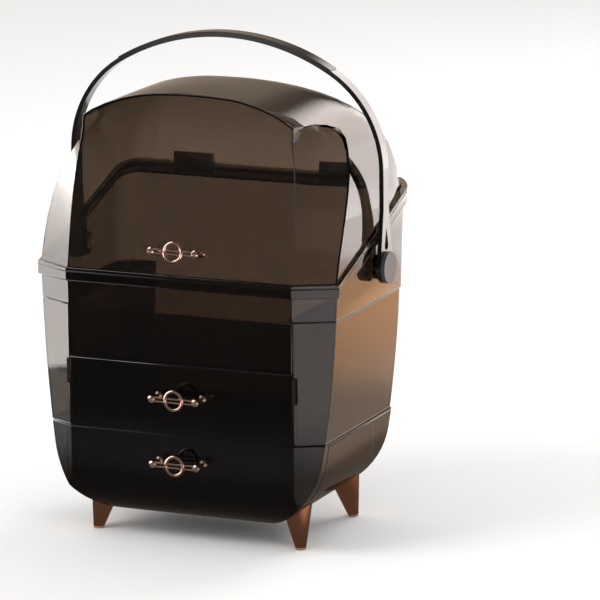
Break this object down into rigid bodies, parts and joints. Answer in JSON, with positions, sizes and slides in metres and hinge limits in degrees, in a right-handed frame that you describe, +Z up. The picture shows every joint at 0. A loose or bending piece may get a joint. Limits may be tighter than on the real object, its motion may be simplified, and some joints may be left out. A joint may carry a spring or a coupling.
{
  "type": "makeup organizer box",
  "caption": "Countertop cosmetics box with a faceted dome lid, a swinging carry handle, drawers, side doors with pockets and splayed metal legs.",
  "frame": {"origin": "centre of the footprint of the whole object on the table, at the feet's soles", "axes": "+X to the right seen from the front, +Y to the back, +Z up; the drawers slide towards -Y"},
  "size_m": [0.3094, 0.2136, 0.4419],
  "materials": {
    "smoked_plastic": "polished, see-through",
    "dark_plastic": "polished",
    "rose_gold_metal": "polished rose gold",
    "pale_gold_metal": "polished pale gold",
    "steel": "brushed",
    "matt_plastic": "matt",
    "magnet": "matt black"
  },
  "bodies": {
    "case": {"base_shell": "smoked_plastic", "drawer_deck": "smoked_plastic", "case_body": "smoked_plastic", "case_hinges": "smoked_plastic", "hinge_pins": "steel", "left_pivot_stud": "steel", "right_pivot_stud": "steel", "left_pivot_cap": "matt_plastic", "right_pivot_cap": "matt_plastic", "left_door_pins": "steel", "right_door_pins": "steel", "left_strike": "magnet", "right_strike": "magnet", "front_left_leg": "rose_gold_metal", "front_right_leg": "rose_gold_metal", "back_left_leg": "rose_gold_metal", "back_right_leg": "rose_gold_metal", "leg_screws": "steel", "deck_screws": "steel", "case_screws": "steel"},
    "lid": {"lid": "smoked_plastic", "lid_hinges": "smoked_plastic", "lid_knob": "pale_gold_metal", "lid_knob_screws": "steel"},
    "handle": {"handle": "dark_plastic", "handle_grip": "dark_plastic"},
    "left_door": {"left_door": "smoked_plastic", "left_catch": "magnet"},
    "right_door": {"right_door": "smoked_plastic", "right_catch": "magnet", "hook_rail": "dark_plastic"},
    "middle_drawer": {"middle_drawer": "smoked_plastic", "middle_drawer_knob": "pale_gold_metal", "middle_drawer_screws": "steel"},
    "bottom_drawer": {"bottom_drawer": "smoked_plastic", "bottom_drawer_knob": "pale_gold_metal", "bottom_drawer_screws": "steel"}
  },
  "joints": [
    {"name": "lid_open", "type": "hinge", "parent": "case", "child": "lid", "pos_m": [0, 0.10316, 0.30231], "axis": [-1, 0, 0], "range_deg": [0, 95]},
    {"name": "handle_swing", "type": "hinge", "parent": "case", "child": "handle", "pos_m": [0, 0.01614, 0.2415], "axis": [-1, 0, 0], "range_deg": [0, 109.25]},
    {"name": "left_door_open", "type": "hinge", "parent": "case", "child": "left_door", "pos_m": [-0.12555, 0.06824, 0.156], "axis": [0, 0, -1], "range_deg": [0, 90]},
    {"name": "right_door_open", "type": "hinge", "parent": "case", "child": "right_door", "pos_m": [0.12555, 0.06824, 0.156], "axis": [0, 0, 1], "range_deg": [0, 90]},
    {"name": "middle_drawer_slide", "type": "slide", "parent": "case", "child": "middle_drawer", "axis": [0, -1, 0], "range_m": [0, 0.13]},
    {"name": "bottom_drawer_slide", "type": "slide", "parent": "case", "child": "bottom_drawer", "axis": [0, -1, 0], "range_m": [0, 0.13]}
  ],
  "couplings": [
    {"joint": "handle_swing", "follows": "lid_open", "ratio": 1.15}
  ]
}
